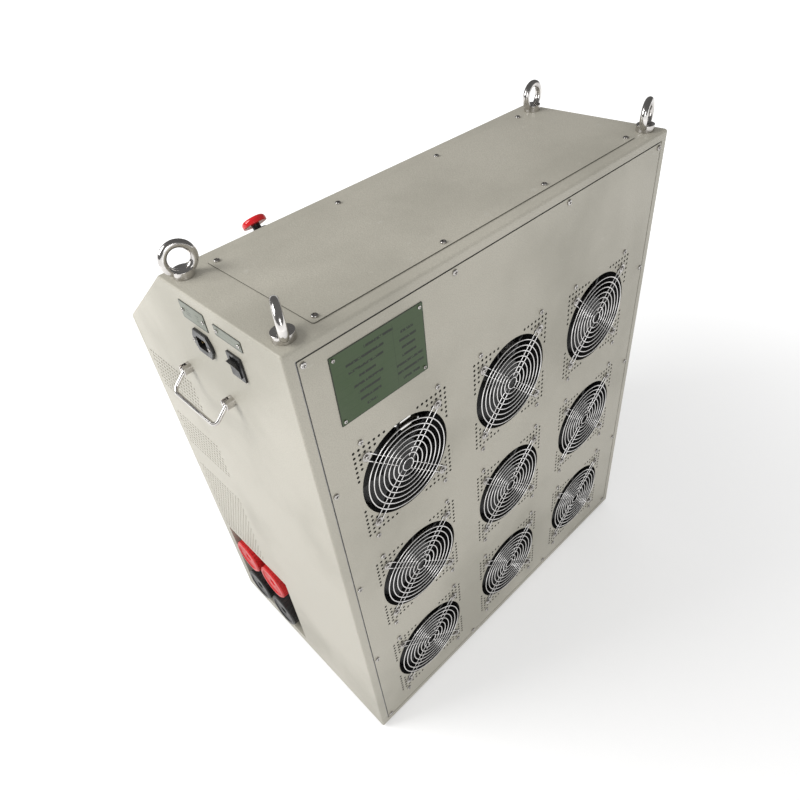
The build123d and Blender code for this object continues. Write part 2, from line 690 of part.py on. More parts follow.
def board():
    """Insulating board behind the recess, carrying the four studs."""
    wide = RECESS_WIDTH + 2 * (RECESS_SHEET + RECESS_LIP)
    tall = RECESS_HEIGHT + 2 * (RECESS_SHEET + RECESS_LIP)
    plate = rounded_plate(wide, tall, 3, -RECESS_DEPTH - BOARD_THICKNESS, -RECESS_DEPTH)
    plate = RIGHT * Pos(*RECESS_CENTRE) * plate
    radius = STUD_RADIUS + THREAD_CLEARANCE
    low = -RECESS_DEPTH - 2 * BOARD_THICKNESS
    return plate - holes(RIGHT, KNOB_POINTS, radius, low, 0)


COLLAR_FACE = STUD_COLLAR_HEIGHT - RECESS_DEPTH
KNOB_BACK = COLLAR_FACE + WASHER_THICKNESS


def stud():
    """Stud with a collar in front of the board and a nut behind it."""
    back = -RECESS_DEPTH - BOARD_THICKNESS
    tip = KNOB_PROUD - KNOB_END_WALL - STUD_TIP_GAP
    shape = rod(STUD_RADIUS, back - NUT_HEIGHT - 12, tip)
    shape = chamfer(shape.edges().sort_by(Axis.Z)[-1], 1.2)
    shape += rod(STUD_COLLAR_RADIUS, -RECESS_DEPTH, COLLAR_FACE)
    nut = extrude(RegularPolygon(NUT_RADIUS, 6), NUT_HEIGHT)
    return shape + Pos(0, 0, back - NUT_HEIGHT) * nut


def washer():
    """Captive washer that travels with the knob."""
    shape = rod(WASHER_RADIUS, COLLAR_FACE, KNOB_BACK)
    return shape - rod(STUD_RADIUS + SHAFT_CLEARANCE, COLLAR_FACE - 1, KNOB_BACK + 1)


def knob():
    """Round fluted clamping knob with a dished face and a blind running bore."""
    face = KNOB_PROUD
    profile_points = [
        (0, face - 4.5),
        (8, face - 4.5),
        (10, face - 2.0),
        (KNOB_RADIUS - 9, face - 2.0),
        (KNOB_RADIUS - 7, face),
        (KNOB_RADIUS - 2.5, face),
        (KNOB_RADIUS, face - 2.5),
        (KNOB_RADIUS, face - KNOB_RIM + 2),
        (KNOB_RADIUS - 2, face - KNOB_RIM),
        (KNOB_NECK_RADIUS + 3, face - KNOB_RIM),
        (KNOB_NECK_RADIUS, face - KNOB_RIM - 3),
        (KNOB_NECK_RADIUS, KNOB_BACK),
        (0, KNOB_BACK),
    ]
    section = Plane.XZ * make_face(Polyline(*profile_points, close=True))
    shape = revolve(section, Axis.Z)
    groove = rod(KNOB_FLUTE_RADIUS, face - KNOB_RIM - 1, face - 3.2)
    offset_radius = KNOB_RADIUS + KNOB_FLUTE_RADIUS * 0.55
    shape -= [
        Rot(0, 0, 360 * i / KNOB_FLUTES) * Pos(offset_radius, 0, 0) * groove
        for i in range(KNOB_FLUTES)
    ]
    return shape - rod(STUD_RADIUS + SHAFT_CLEARANCE, KNOB_BACK - 1, face - KNOB_END_WALL)


PARTS["terminal_box"] = recess_box()
PARTS["terminal_board"] = board()
PARTS["terminal_studs"] = [RIGHT * Pos(x, y) * stud() for x, y in KNOB_POINTS]
knob_shape = knob()
for number, (x, y) in enumerate(KNOB_POINTS, start=1):
    PARTS[f"terminal_washer_{number}"] = RIGHT * Pos(x, y) * washer()
    PARTS[f"terminal_knob_{number}"] = RIGHT * Pos(x, y) * knob_shape


# ---- side handles ----
def post():
    """Turned post, forked at its outer end for the bail's eye and its pin."""
    shape = rod(POST_RADIUS, 0, POST_LENGTH)
    shape = fillet(shape.edges().sort_by(Axis.Z)[-1], 1.2)
    slot = BAIL_RADIUS + CLEVIS_CLEARANCE
    floor = PIVOT_HEIGHT - BAIL_RADIUS - 1
    shape -= block(-slot, slot, -POST_RADIUS - 1, POST_RADIUS + 1, floor, POST_LENGTH + 1)
    shape += rod(PANEL_SCREW_RADIUS, -SHEET - 6, 0.5)
    pin = Pos(0, 0, PIVOT_HEIGHT) * Rot(0, 90, 0) * Cylinder(BAIL_PIN_RADIUS, 2 * POST_RADIUS - 3)
    return shape + pin


def bail():
    """Bent rod handle, hanging at its droop angle from the two pivots."""
    y0 = HANDLE_FRONT
    y1 = HANDLE_FRONT + HANDLE_SPACING
    path = FilletPolyline(
        (0, y0), (BAIL_REACH, y0), (BAIL_REACH, y1), (0, y1), radius=BAIL_CORNER
    )
    section = Plane(origin=(0, y0, 0), z_dir=(1, 0, 0)) * Circle(BAIL_RADIUS)
    shape = sweep(section, path=path)
    for y in (y0, y1):
        shape += Pos(0, y, 0) * Sphere(BAIL_RADIUS)
        bore = Rot(90, 0, 0) * Cylinder(BAIL_PIN_RADIUS + BAIL_PIN_CLEARANCE, 4 * BAIL_RADIUS)
        shape -= Pos(0, y, 0) * bore
    place = Pos(HALF_WIDTH + PIVOT_HEIGHT, -HALF_DEPTH, TOP_Z - HANDLE_TOP)
    return place * Rot(0, BAIL_DROOP, 0) * shape


right_posts = [RIGHT * Pos(x, y) * post() for x, y in POST_POINTS]
PARTS["handle_posts"] = right_posts + [other_side(shape) for shape in right_posts]
PARTS["handle_bail_right"] = bail()
PARTS["handle_bail_left"] = other_side(bail())


# ---- inlet ----
def inlet():
    """Socket shell with a bevelled flange, an open well and a body behind the panel."""
    half_w = INLET_WIDTH / 2
    half_h = INLET_HEIGHT / 2
    outline = [
        (-half_w, -5), (-half_w + 8, -half_h), (half_w - 8, -half_h), (half_w, -5),
        (half_w, 5), (half_w - 8, half_h), (-half_w + 8, half_h), (-half_w, 5),
    ]
    flange = extrude(make_face(Polyline(*outline, close=True)), INLET_FLANGE)
    flange = chamfer(flange.edges().group_by(Axis.Z)[-1], 0.8)
    gap = THREAD_CLEARANCE
    shape = flange + rounded_plate(
        INLET_BODY_WIDTH - 2 * gap, INLET_BODY_HEIGHT - 2 * gap, 2, -INLET_BODY_DEPTH, 1
    )
    floor = INLET_FLANGE - INLET_WELL_DEPTH
    shape -= rounded_plate(INLET_WELL_WIDTH, INLET_WELL_HEIGHT, 3, floor, INLET_FLANGE + 1)
    local = [(side * INLET_SCREW_SPACING / 2, 0) for side in (-1, 1)]
    shape -= holes(Plane.XY, local, SMALL_SCREW_RADIUS + THREAD_CLEARANCE, -1, INLET_FLANGE + 1)
    return RIGHT * Pos(INLET_Y, -INLET_Z) * shape


def inlet_blades():
    """Three flat contact blades standing on the floor of the well."""
    floor = INLET_FLANGE - INLET_WELL_DEPTH
    pin = block(-PIN_WIDTH / 2, PIN_WIDTH / 2, -PIN_HEIGHT / 2, PIN_HEIGHT / 2, floor, floor + PIN_LENGTH)
    place = RIGHT * Pos(INLET_Y, -INLET_Z)
    sides = [place * Pos(side * PIN_SPACING / 2, -PIN_RISE / 2, 0) * pin for side in (-1, 1)]
    return sides + [place * Pos(0, PIN_RISE, 0) * pin]


PARTS["inlet_socket"] = inlet()
PARTS["inlet_pins"] = inlet_blades()


# ---- rocker switch ----
def rocker_case():
    """Bezel and case, open in front for the key, with two pivot pins."""
    rim = rounded_plate(ROCKER_WIDTH, ROCKER_HEIGHT, 1.5, 0, ROCKER_RIM)
    gap = THREAD_CLEARANCE
    width = ROCKER_WIDTH - 2 * (ROCKER_RIM + gap)
    height = ROCKER_HEIGHT - 2 * (ROCKER_RIM + gap)
    case = block(-width / 2, width / 2, -height / 2, height / 2, -ROCKER_BODY_DEPTH, 1)
    key_w = ROCKER_WIDTH - 2 * ROCKER_WALL - 2 * ROCKER_RIM
    key_h = ROCKER_HEIGHT - 2 * ROCKER_WALL - 2
    well = block(-key_w / 2, key_w / 2, -key_h / 2, key_h / 2, 4 - ROCKER_BODY_DEPTH, ROCKER_RIM + 1)
    shape = rim + case - well
    pin = Pos(0, 0, -ROCKER_PIVOT_DEPTH) * Rot(0, 90, 0) * Cylinder(ROCKER_PIN_RADIUS, key_w + 1)
    return RIGHT * Pos(ROCKER_Y, -ROCKER_Z) * (shape + pin)


def rocker_key():
    """Rocking key with two faces that meet in a shallow valley, upper half out at rest."""
    width = ROCKER_WIDTH - 2 * ROCKER_WALL - 2 * ROCKER_RIM - 2 * ROCKER_GAP
    reach = (ROCKER_HEIGHT - 2 * ROCKER_WALL - 2) / 2 - ROCKER_SWEEP
    rise = ROCKER_RIM + ROCKER_PROUD + ROCKER_PIVOT_DEPTH
    outline = [
        (-reach, rise), (0, rise - 2.4), (reach, rise),
        (reach - 1.5, 0), (4, -4.5), (-4, -4.5), (-reach + 1.5, 0),
    ]
    face = Plane.YZ * make_face(Polyline(*outline, close=True))
    shape = Pos(-width / 2, 0, 0) * extrude(face, width, dir=(1, 0, 0))
    bore = Rot(0, 90, 0) * Cylinder(ROCKER_PIN_RADIUS + SHAFT_CLEARANCE, 2 * width)
    tilt = Rot(ROCKER_TILT, 0, 0)
    return RIGHT * Pos(ROCKER_Y, -ROCKER_Z, -ROCKER_PIVOT_DEPTH) * tilt * (shape - bore)


PARTS["rocker_bezel"] = rocker_case()
PARTS["rocker_key"] = rocker_key()


# ---- plates ----
def label(place, width, height, points, plane):
    """Thin plate lying on a face, with its screw holes."""
    plate = plane * Pos(*place) * rounded_plate(width, height, 1.5, 0, PLATE_THICKNESS)
    return plate - holes(plane, points, SMALL_SCREW_RADIUS + THREAD_CLEARANCE, -1, 4)


def side_label(values, points):
    """Small plate above a fitting of the right side."""
    y, z, width, height = values
    return label((y + width / 2, -z - height / 2), width, height, points, RIGHT)


PARTS["rating_plates"] = [
    label(NAMEPLATE_CENTRE, NAMEPLATE_WIDTH, NAMEPLATE_HEIGHT, NAMEPLATE_POINTS, REAR),
    side_label(INLET_PLATE, LABEL_POINTS[:2]),
    side_label(ROCKER_PLATE, LABEL_POINTS[2:]),
]


# ---- screws ----
panel_screw = screw(PANEL_SCREW_RADIUS, PANEL_SCREW_HEAD, PANEL_SCREW_LENGTH)
small_screw = screw(SMALL_SCREW_RADIUS, SMALL_SCREW_HEAD, SMALL_SCREW_LENGTH)
guard_screw = screw(
    SMALL_SCREW_RADIUS, PANEL_SCREW_HEAD * 0.85, SHEET + 2 * GUARD_WIRE + FAN_PLATE,
    GUARD_SCREW_WASHER, 0.8,
)
PARTS["panel_screws"] = [REAR * Pos(x, y) * panel_screw for x, y in REAR_POINTS + FAN_POINTS]
PARTS["panel_screws"] += [FLAT_TOP * Pos(x, y, COVER_SHEET) * panel_screw for x, y in COVER_POINTS]
PARTS["small_screws"] = [
    REAR * Pos(x, y, 2 * GUARD_WIRE) * guard_screw for x, y in GUARD_POINTS
]
PARTS["small_screws"] += [
    REAR * Pos(x, y, PLATE_THICKNESS) * small_screw for x, y in NAMEPLATE_POINTS
]
PARTS["small_screws"] += [
    RIGHT * Pos(x, y, PLATE_THICKNESS) * small_screw for x, y in LABEL_POINTS
]
PARTS["small_screws"] += [RIGHT * Pos(x, y, INLET_FLANGE) * small_screw for x, y in INLET_POINTS]


# ---- console fittings ----
def estop():
    """Housing, sliding stem and mushroom head of the stop button."""
    place = CONSOLE * Pos(ESTOP_X, ESTOP_Y)
    clearance = ESTOP_BORE_CLEARANCE
    housing = rod(ESTOP_COLLAR_RADIUS, 0, ESTOP_COLLAR_HEIGHT)
    housing = fillet(housing.edges().sort_by(Axis.Z)[-1], 1)
    housing += rod(ESTOP_COLLAR_RADIUS - 3 - THREAD_CLEARANCE, -ESTOP_BODY_DEPTH, 1)
    bore_floor = -ESTOP_TRAVEL - 8
    housing -= rod(ESTOP_STEM_RADIUS + clearance, bore_floor, ESTOP_COLLAR_HEIGHT + 1)
    stem = rod(ESTOP_STEM_RADIUS, bore_floor + ESTOP_TRAVEL + 1, ESTOP_HEAD_RISE)
    stem += rod(ESTOP_STEM_RADIUS / 2, ESTOP_HEAD_RISE - 1, ESTOP_HEAD_RISE + 5)
    head = rod(ESTOP_HEAD_RADIUS, ESTOP_HEAD_RISE, ESTOP_HEAD_RISE + ESTOP_HEAD_HEIGHT)
    head = fillet(head.edges().sort_by(Axis.Z)[-1], ESTOP_HEAD_HEIGHT * 0.55)
    head = fillet(head.edges().sort_by(Axis.Z)[0], 1.5)
    socket = ESTOP_STEM_RADIUS / 2 + clearance
    head -= rod(socket, ESTOP_HEAD_RISE - 1, ESTOP_HEAD_RISE + 5.2)
    return place * housing, place * stem, place * head


def button_housing(x):
    """Collar and body of a push button."""
    shape = rod(BUTTON_COLLAR_RADIUS, 0, BUTTON_COLLAR_HEIGHT)
    shape = fillet(shape.edges().sort_by(Axis.Z)[-1], 1)
    shape += rod(BUTTON_BODY_RADIUS - THREAD_CLEARANCE, -BUTTON_BODY_DEPTH, 1)
    floor = -BUTTON_TRAVEL - 8
    shape -= rod(BUTTON_RADIUS + BUTTON_CLEARANCE, floor, BUTTON_COLLAR_HEIGHT + 1)
    return CONSOLE * Pos(x, BUTTON_Y) * shape


def button(x):
    """Sprung plunger of a push button."""
    shape = rod(BUTTON_RADIUS, -7, BUTTON_COLLAR_HEIGHT + BUTTON_PROUD)
    shape = fillet(shape.edges().sort_by(Axis.Z)[-1], 1)
    return CONSOLE * Pos(x, BUTTON_Y) * shape


def meter():
    """Flush display unit: bezel, sunk window and a case behind the console."""
    shape = rounded_plate(METER_WIDTH, METER_HEIGHT, 4, 0, METER_RIM)
    shape = chamfer(shape.edges().group_by(Axis.Z)[-1], 1.2)
    width = METER_WIDTH - 2 * METER_BODY_MARGIN - 2 * THREAD_CLEARANCE
    height = METER_HEIGHT - 2 * METER_BODY_MARGIN - 2 * THREAD_CLEARANCE
    shape += block(-width / 2, width / 2, -height / 2, height / 2, -METER_BODY_DEPTH, 1)
    margin = 2 * METER_WINDOW_MARGIN
    low = METER_RIM - METER_WINDOW_DEPTH
    shape -= rounded_plate(METER_WIDTH - margin, METER_HEIGHT - margin, 2, low, METER_RIM + 1)
    return CONSOLE * Pos(METER_X, METER_Y) * shape


PARTS["estop_housing"], PARTS["estop_stem"], PARTS["estop_head"] = estop()
PARTS["button_housings"] = [button_housing(x) for x in BUTTON_X]
PARTS["start_button"] = button(BUTTON_X[1])
PARTS["stop_button"] = button(BUTTON_X[0])
PARTS["power_meter"] = meter()


# ---- heating elements ----
def rack():
    """Two upright plates with inward feet on the base pan."""
    y0 = -HALF_DEPTH + RACK_FRONT
    y1 = -HALF_DEPTH + RACK_REAR
    z0 = BASE_Z + SHEET
    z1 = TOP_Z - RACK_TOP
    plates = []
    for side in (-1, 1):
        x = side * RACK_HALF_SPAN
        outer = x + side * RACK_SHEET
        plate = block(min(x, outer), max(x, outer), y0, y1, z0, z1)
        foot_x = x - side * RACK_FOOT
        plate += block(min(foot_x, outer), max(foot_x, outer), y0, y1, z0, z0 + RACK_SHEET)
        plates.append(plate)
    return plates


def element_tubes():
    """Rows of straight heating tubes between the two rack plates."""
    tube = Rot(0, 90, 0) * Cylinder(TUBE_RADIUS, 2 * RACK_HALF_SPAN)
    return [
        Pos(0, -HALF_DEPTH + TUBE_FIRST_Y + c * TUBE_PITCH_Y, BASE_Z + TUBE_FIRST_Z + r * TUBE_PITCH_Z)
        * tube
        for c in range(TUBE_COLUMNS)
        for r in range(TUBE_ROWS)
    ]


PARTS["resistor_rack"] = rack()
PARTS["resistor_tubes"] = element_tubes()


def write_parts():
    """One STEP file for each named sub-part."""
    os.makedirs("parts", exist_ok=True)
    for name, shape in PARTS.items():
        pieces = shape if isinstance(shape, list) else [shape]
        solids = [solid for piece in pieces for solid in piece.solids()]
        body = solids[0] if len(solids) == 1 else Compound(children=solids)
        export_step(body, f"parts/{name}.step")


write_parts()
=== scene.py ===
import math

import bpy
import numpy as np
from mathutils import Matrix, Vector

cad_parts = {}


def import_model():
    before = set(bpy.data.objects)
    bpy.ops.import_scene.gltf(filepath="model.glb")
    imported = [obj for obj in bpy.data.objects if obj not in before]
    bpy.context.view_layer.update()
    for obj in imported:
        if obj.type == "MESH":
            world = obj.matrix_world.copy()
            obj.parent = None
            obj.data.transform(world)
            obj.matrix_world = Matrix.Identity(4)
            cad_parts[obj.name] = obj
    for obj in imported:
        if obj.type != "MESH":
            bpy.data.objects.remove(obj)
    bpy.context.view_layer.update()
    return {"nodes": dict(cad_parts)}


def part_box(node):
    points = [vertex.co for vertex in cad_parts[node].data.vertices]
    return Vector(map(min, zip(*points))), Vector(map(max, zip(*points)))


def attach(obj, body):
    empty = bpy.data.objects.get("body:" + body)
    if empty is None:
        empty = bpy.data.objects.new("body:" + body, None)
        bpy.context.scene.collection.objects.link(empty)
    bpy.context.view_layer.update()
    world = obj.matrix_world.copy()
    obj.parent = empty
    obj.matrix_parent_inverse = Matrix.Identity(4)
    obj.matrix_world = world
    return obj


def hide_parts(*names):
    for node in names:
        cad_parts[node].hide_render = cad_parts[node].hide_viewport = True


# Looks of a resistive load bank: powder-coated cabinet, nine guarded fans, recessed terminals,
# lifting eyes, folding handles and a sloped console. Metres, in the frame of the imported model.

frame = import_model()
NODES = frame["nodes"]

# ---- camera ----
CAMERA_PLACE = (0.6536, 0.7609, 1.3554)
CAMERA_TURN = (49.397, 6.4145, 137.018)
CAMERA_LENS = 28.58
CAMERA_SHIFT = (0.0135, -0.0049)

# ---- finger guards ----
RING_OUTER = 0.077
RING_PITCH = 0.0095
RING_COUNT = 8
RING_RADII = [RING_OUTER - RING_PITCH * number for number in range(RING_COUNT)]
WIRE_RADIUS = 0.0011
WELD_DEPTH = 0.00035
LEG_HALF_GAP = 0.0057
LEG_REACH = 0.0986
LEG_COUNT = 4
FIRST_LEG_ANGLE = 45.0
FAN_COUNT = 9

# ---- printed plates: (width, height, top edge) and where each starts ----
SIDE_LABEL = 0.001
NAMEPLATE_EDGE = 0.057
NAMEPLATE = (0.155, 0.109, 0.9205)
INLET_LABEL = (0.065, 0.028, 0.939)
INLET_LABEL_Y = 0.006
ROCKER_LABEL = (0.064, 0.017, 0.936)
ROCKER_LABEL_Y = 0.094

# ---- powder coat ----
COAT_COLOUR = (0.6, 0.57, 0.485, 1)
COAT_SHADE = (0.44, 0.42, 0.352, 1)
FLECK_COLOUR = (0.36, 0.34, 0.285, 1)
# painted shade: dark colour painted on the cut edges of the top and rear plates, standing in for the
# shadow in the gap round each plate
GAP_SHADE_COLOUR = (0.03, 0.028, 0.024, 1)
WHITE = (1, 1, 1, 1)

# ---- stage: brightness of sky and floor ----
SKY_LEVEL = 0.5
SKY_GLOSS = 0.16
FLOOR_HALF = 30.0
FLOOR_COLOUR = (0.8, 0.8, 0.8, 1)
GLOW_NEAR = 0.36
GLOW_FAR = 0.8
GLOW_START = 0.6
GLOW_END = 2.6


# ---- node helpers ----
class Tree:
    """Short names for adding and linking nodes of one tree."""

    def __init__(self, tree):
        self.tree = tree

    def add(self, kind, settings=None, **inputs):
        """A node with its settings; an input is a value or another node's socket."""
        node = self.tree.nodes.new(kind)
        for name, value in (settings or {}).items():
            setattr(node, name, value)
        for name, value in inputs.items():
            self.feed(node.inputs[name.replace("_", " ")], value)
        return node

    def feed(self, socket, value):
        """Links a socket or sets its value."""
        if isinstance(value, bpy.types.NodeSocket):
            self.tree.links.new(value, socket)
        else:
            socket.default_value = value

    def math(self, operation, a, b=0.0):
        """Result of a two-input math node."""
        node = self.add("ShaderNodeMath", {"operation": operation})
        self.feed(node.inputs[0], a)
        self.feed(node.inputs[1], b)
        return node.outputs[0]

    def mix(self, factor, a, b):
        """Colour mixed from a to b."""
        node = self.add("ShaderNodeMix", {"data_type": "RGBA"})
        self.feed(node.inputs[0], factor)
        self.feed(node.inputs[6], a)
        self.feed(node.inputs[7], b)
        return node.outputs[2]

    def span(self, value, low, high, out_low=0.0, out_high=1.0):
        """Value carried smoothly from one range to another, clamped."""
        node = self.add("ShaderNodeMapRange", {"interpolation_type": "SMOOTHSTEP"})
        for index, item in enumerate((value, low, high, out_low, out_high)):
            self.feed(node.inputs[index], item)
        return node.outputs[0]

    def object_place(self):
        """Object coordinates."""
        return self.add("ShaderNodeTexCoord").outputs["Object"]


def new_group(name, inputs, outputs):
    """An empty shader group with named sockets; returns the Tree, its input and output nodes."""
    tree = bpy.data.node_groups.new(name, "ShaderNodeTree")
    for label, kind, value in inputs:
        socket = tree.interface.new_socket(label, in_out="INPUT", socket_type=kind)
        socket.default_value = value
    for label, kind in outputs:
        tree.interface.new_socket(label, in_out="OUTPUT", socket_type=kind)
    source = tree.nodes.new("NodeGroupInput")
    sink = tree.nodes.new("NodeGroupOutput")
    return Tree(tree), source, sink


FLOAT = "NodeSocketFloat"
VECTOR = "NodeSocketVector"


def make_grain_group():
    """Fine relief of a surface: noise at one size, with a slower wave under it."""
    t, source, sink = new_group(
        "surface_grain",
        [("Size", FLOAT, 900.0), ("Depth", FLOAT, 0.2), ("Wave", FLOAT, 0.1)],
        [("Normal", VECTOR), ("Grain", FLOAT)],
    )
    place = t.object_place()
    fine = t.add("ShaderNodeTexNoise", Vector=place, Scale=source.outputs["Size"], Detail=3.0)
    slow = t.add("ShaderNodeTexNoise", Vector=place, Scale=9.0, Detail=2.0)
    height = t.math("MULTIPLY", fine.outputs[0], source.outputs["Depth"])
    wave = t.math("MULTIPLY", slow.outputs[0], source.outputs["Wave"])
    bump = t.add("ShaderNodeBump", Height=t.math("ADD", height, wave), Distance=0.0004)
    t.feed(sink.inputs["Normal"], bump.outputs[0])
    t.feed(sink.inputs["Grain"], fine.outputs[0])
    return t.tree


def make_wear_group():
    """Handling marks: blotches, thin scuffs and dust that settles low and on level faces."""
    t, source, sink = new_group(
        "handling_wear",
        [("Blotch", FLOAT, 5.0), ("Scuff", FLOAT, 60.0), ("Low", FLOAT, 0.0), ("High", FLOAT, 0.2)],
        [("Blotch", FLOAT), ("Scuff", FLOAT), ("Dust", FLOAT)],
    )
    place = t.object_place()
    blotch = t.add("ShaderNodeTexNoise", Vector=place, Scale=source.outputs["Blotch"], Detail=5.0)
    stretched = t.add("ShaderNodeMapping", Vector=place, Scale=(1.0, 1.0, 7.0))
    scuff = t.add(
        "ShaderNodeTexNoise", Vector=stretched.outputs[0], Scale=source.outputs["Scuff"], Detail=6.0
    )
    parts = t.add("ShaderNodeSeparateXYZ", Vector=place)
    low = t.span(parts.outputs[2], source.outputs["High"], source.outputs["Low"])
    normal = t.add("ShaderNodeNewGeometry")
    level = t.add("ShaderNodeSeparateXYZ", Vector=normal.outputs["Normal"])
    flat = t.span(level.outputs[2], 0.7, 1.0)
    dust = t.math("MULTIPLY", t.math("MAXIMUM", low, flat), blotch.outputs[0])
    t.feed(sink.inputs["Blotch"], t.span(blotch.outputs[0], 0.38, 0.66))
    t.feed(sink.inputs["Scuff"], t.span(scuff.outputs[0], 0.66, 0.74))
    t.feed(sink.inputs["Dust"], dust)
    return t.tree


GRAIN = make_grain_group()
WEAR = make_wear_group()


def use_group(t, tree, **values):
    """A group node with its input values."""
    node = t.add("ShaderNodeGroup", {"node_tree": tree})
    for name, value in values.items():
        t.feed(node.inputs[name], value)
    return node


def finish_of(name, colours, roughness, metallic=0.0, grain=(900.0, 0.2, 0.1), wear=None, **fixed):
    """A surface finish: two colours mixed by blotches, scuffs, dust and a fine grain.

    colours: base, shade, scuff, dust. roughness: clean and worn. wear: blotch, scuff, low, high.
    """
    material = bpy.data.materials.new(name)
    material.use_nodes = True
    t = Tree(material.node_tree)
    shader = material.node_tree.nodes["Principled BSDF"]
    marks = wear or (5.0, 60.0, 0.0, 0.2)
    worn = use_group(t, WEAR, Blotch=marks[0], Scuff=marks[1], Low=marks[2], High=marks[3])
    relief = use_group(t, GRAIN, Size=grain[0], Depth=grain[1], Wave=grain[2])
    base, shade, scuff, dust = colours
    colour = t.mix(worn.outputs["Blotch"], base, shade)
    colour = t.mix(t.math("MULTIPLY", relief.outputs["Grain"], 0.22), colour, shade)
    colour = t.mix(t.math("MULTIPLY", worn.outputs["Scuff"], 0.5), colour, scuff)
    colour = t.mix(t.math("MULTIPLY", worn.outputs["Dust"], 0.3), colour, dust)
    clean, worn_out = roughness
    rough = t.math("MULTIPLY", worn.outputs["Blotch"], worn_out - clean)
    rough = t.math("ADD", rough, clean)
    t.feed(shader.inputs["Base Color"], colour)
    t.feed(shader.inputs["Roughness"], rough)
    t.feed(shader.inputs["Normal"], relief.outputs["Normal"])
    shader.inputs["Metallic"].default_value = metallic
    for socket, value in fixed.items():
        shader.inputs[socket.replace("_", " ")].default_value = value
    return material


def grey(value, warm=0.0):
    """Neutral colour, a little warmer by the second value."""
    return (value * (1 + warm), value, value * (1 - warm), 1)


def coat_finish(name, axis=None):
    """Textured powder coat; on a plate the cut edges, which face away from its axis, get painted shade
    standing in for the shadow in the gap round the plate.
    """
    material = finish_of(
        name,
        (COAT_COLOUR, COAT_SHADE, (0.62, 0.6, 0.53, 1), (0.45, 0.42, 0.35, 1)),
        (0.4, 0.48), grain=(430.0, 1.0, 0.6), wear=(3.0, 45.0, 0.0, 0.12),
    )
    t = Tree(material.node_tree)
    socket = material.node_tree.nodes["Principled BSDF"].inputs["Base Color"]
    fleck = t.add("ShaderNodeTexNoise", Vector=t.object_place(), Scale=620.0, Detail=1.0)
    share = t.span(fleck.outputs[0], 0.42, 0.6, 0.0, 0.3)
    t.feed(socket, t.mix(share, socket.links[0].from_socket, FLECK_COLOUR))
    if axis is not None:
        # painted shade: cut edges that face away from the plate's axis are darkened, standing in for the
        # shadow in the gap round the plate
        normal = t.add("ShaderNodeNewGeometry").outputs["True Normal"]
        facing = t.add("ShaderNodeSeparateXYZ", Vector=normal).outputs[axis]
        edge = t.span(t.math("ABSOLUTE", facing), 0.75, 0.35, 0.0, 0.85)
        t.feed(socket, t.mix(edge, socket.links[0].from_socket, GAP_SHADE_COLOUR))
    return material


COAT = coat_finish("powder_coat")
TOP_PLATE = coat_finish("powder_coat_top_plate_painted_edge_shade", 2)
REAR_PLATE = coat_finish("powder_coat_rear_plate_painted_edge_shade", 1)
GALVANISED = finish_of(
    "galvanised", (grey(0.5), grey(0.38), grey(0.6), grey(0.3, 0.05)), (0.35, 0.5), 0.9,
    grain=(120.0, 0.2, 0.1), wear=(60.0, 90.0, 0.0, 0.1),
)
FAN_BLACK = finish_of(
    "moulded_black", (grey(0.012), grey(0.018), grey(0.04), grey(0.05, 0.08)), (0.38, 0.5),
    grain=(1200.0, 0.15, 0.1), wear=(14.0, 80.0, 0.0, 0.1),
)
ROTOR_BLACK = finish_of(
    "rotor_black", (grey(0.02), grey(0.03), grey(0.05), grey(0.06, 0.08)), (0.3, 0.42),
    grain=(1000.0, 0.1, 0.1), wear=(20.0, 80.0, 0.0, 0.1),
)
CHROME = finish_of(
    "bright_wire", (grey(0.78, 0.01), grey(0.66, 0.02), grey(0.5), grey(0.5, 0.05)), (0.14, 0.26),
    1.0, grain=(500.0, 0.05, 0.02), wear=(30.0, 120.0, 0.0, 0.1),
)
STAINLESS = finish_of(
    "polished_stainless", (grey(0.66, 0.03), grey(0.5, 0.04), grey(0.7), grey(0.4, 0.06)),
    (0.13, 0.24), 1.0, grain=(260.0, 0.1, 0.25), wear=(45.0, 160.0, 0.0, 0.1),
)
BRASS = finish_of(
    "turned_brass",
    ((0.62, 0.44, 0.16, 1), (0.48, 0.33, 0.12, 1), (0.75, 0.58, 0.28, 1), (0.3, 0.22, 0.1, 1)),
    (0.25, 0.4), 1.0, grain=(600.0, 0.1, 0.05), wear=(50.0, 160.0, 0.0, 0.1),
)
TERMINAL_RED = finish_of(
    "terminal_red",
    ((0.66, 0.018, 0.02, 1), (0.56, 0.014, 0.016, 1), (0.75, 0.12, 0.1, 1), (0.5, 0.06, 0.05, 1)),
    (0.34, 0.46), grain=(420.0, 0.3, 0.1), wear=(40.0, 120.0, 0.0, 0.05),
)
TERMINAL_BLACK = finish_of(
    "terminal_black", (grey(0.014), grey(0.02), grey(0.06), grey(0.07, 0.08)), (0.36, 0.48),
    grain=(420.0, 0.3, 0.1), wear=(40.0, 120.0, 0.0, 0.05),
)
BOARD = finish_of(
    "laminate_board", (grey(0.5, 0.02), grey(0.45, 0.03), grey(0.56), grey(0.36, 0.08)), (0.45, 0.6),
    grain=(500.0, 0.1, 0.1), wear=(25.0, 90.0, 0.0, 0.1),
)
STOP_RED = finish_of(
    "stop_red",
    ((0.72, 0.012, 0.018, 1), (0.62, 0.01, 0.014, 1), (0.8, 0.1, 0.1, 1), (0.5, 0.05, 0.05, 1)),
    (0.22, 0.32), grain=(300.0, 0.06, 0.05), wear=(40.0, 140.0, 0.0, 0.1), Coat_Weight=0.25,
)
GO_GREEN = finish_of(
    "go_green",
    ((0.015, 0.3, 0.07, 1), (0.012, 0.24, 0.055, 1), (0.1, 0.4, 0.15, 1), (0.08, 0.2, 0.08, 1)),
    (0.25, 0.35), grain=(300.0, 0.06, 0.05), wear=(40.0, 140.0, 0.0, 0.1),
)
SWITCH_BLACK = finish_of(
    "switch_black", (grey(0.008), grey(0.012), grey(0.04), grey(0.04, 0.05)), (0.26, 0.4),
    grain=(800.0, 0.12, 0.05), wear=(50.0, 150.0, 0.0, 0.1),
)
